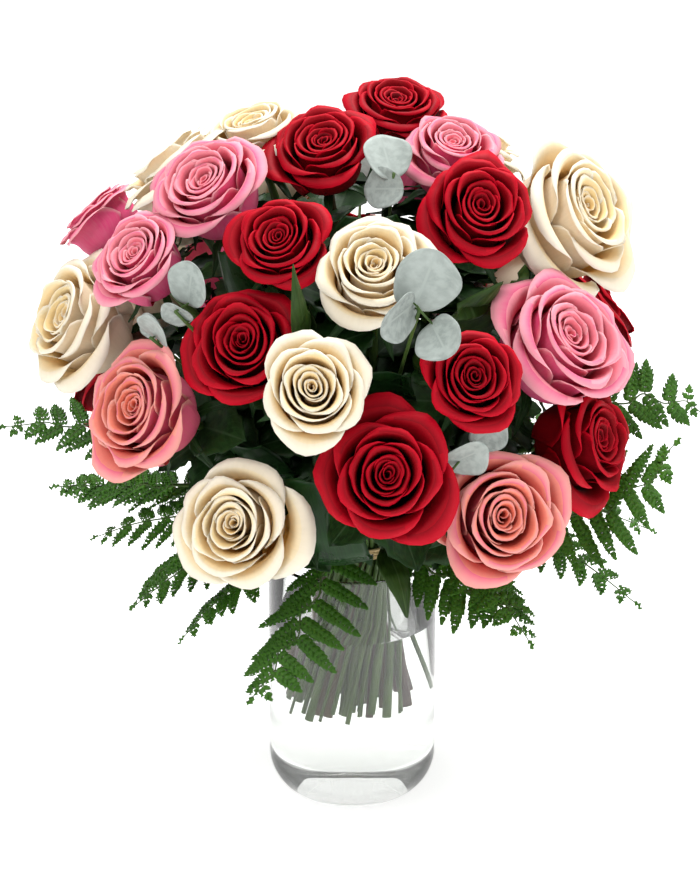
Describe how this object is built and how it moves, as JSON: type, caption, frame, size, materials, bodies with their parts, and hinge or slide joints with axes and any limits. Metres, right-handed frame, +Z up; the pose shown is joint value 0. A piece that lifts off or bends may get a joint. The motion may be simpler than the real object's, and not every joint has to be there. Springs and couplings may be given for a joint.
{
  "type": "roses in a vase",
  "caption": "Hand-tied dome of red, cream, pink and salmon roses with fern, eucalyptus and folded dark leaves, standing in water in a clear round-bottomed glass vase.",
  "frame": {"origin": "the middle of the vase's flat foot, on the surface that it stands on", "axes": "+Z up along the vase's axis, -Y to the front, where the lowest cream and red roses and the drooping frond are, +X to the viewer's right"},
  "size_m": [0.3993, 0.3576, 0.4169],
  "materials": {
    "red_petals": "velvety deep crimson petal, darker in the heart",
    "cream_petals": "ivory petal, butter yellow in the heart, slightly translucent",
    "pink_petals": "rose pink petal, deeper outside, paler rim, slightly translucent",
    "salmon_petals": "salmon pink petal, coral in the heart, slightly translucent",
    "fern_green": "fresh green frond, semi-gloss",
    "eucalyptus_grey": "silvery grey-green leaf with a matt waxy bloom",
    "dark_leaf": "dark green strap leaf, glossy, fine lengthwise veins",
    "stem_and_leaf_green": "matt olive green leaf and stem",
    "clear_glass": "clear, smooth, polished",
    "water": "clear still water",
    "raffia": "matt natural fibre band"
  },
  "bodies": {
    "root": {"aspidistra_10": "dark_leaf", "aspidistra_11": "dark_leaf", "aspidistra_12": "dark_leaf", "aspidistra_13": "dark_leaf", "aspidistra_14": "dark_leaf", "eucalyptus_1": "eucalyptus_grey", "eucalyptus_2": "eucalyptus_grey", "eucalyptus_3": "eucalyptus_grey", "eucalyptus_4": "eucalyptus_grey", "eucalyptus_5": "eucalyptus_grey", "eucalyptus_6": "eucalyptus_grey", "fern_1": "fern_green", "fern_2": "fern_green", "fern_3": "fern_green", "fern_4": "fern_green", "fern_5": "fern_green", "fern_6": "fern_green", "fern_7": "fern_green", "fern_8": "fern_green", "fern_9": "fern_green", "leaf_15": "stem_and_leaf_green", "leaf_16": "stem_and_leaf_green", "leaf_17": "stem_and_leaf_green", "leaf_18": "stem_and_leaf_green", "rose_cream_12": "cream_petals", "rose_cream_13": "cream_petals", "rose_cream_14": "cream_petals", "rose_cream_19": "cream_petals", "rose_cream_23": "cream_petals", "rose_cream_25": "cream_petals", "rose_cream_26": "cream_petals", "rose_cream_28": "cream_petals", "rose_cream_3": "cream_petals", "rose_cream_32": "cream_petals", "rose_cream_4": "cream_petals", "rose_cream_8": "cream_petals", "rose_pink_18": "pink_petals", "rose_pink_20": "pink_petals", "rose_pink_24": "pink_petals", "rose_pink_31": "pink_petals", "rose_pink_5": "pink_petals", "rose_pink_6": "pink_petals", "rose_pink_7": "pink_petals", "rose_red_1": "red_petals", "rose_red_10": "red_petals", "rose_red_11": "red_petals", "rose_red_15": "red_petals", "rose_red_16": "red_petals", "rose_red_17": "red_petals", "rose_red_2": "red_petals", "rose_red_21": "red_petals", "rose_red_27": "red_petals", "rose_red_30": "red_petals", "rose_red_33": "red_petals", "rose_salmon_22": "salmon_petals", "rose_salmon_29": "salmon_petals", "rose_salmon_9": "salmon_petals", "tie": "raffia", "vase": "clear_glass", "water": "water"}
  },
  "joints": []
}
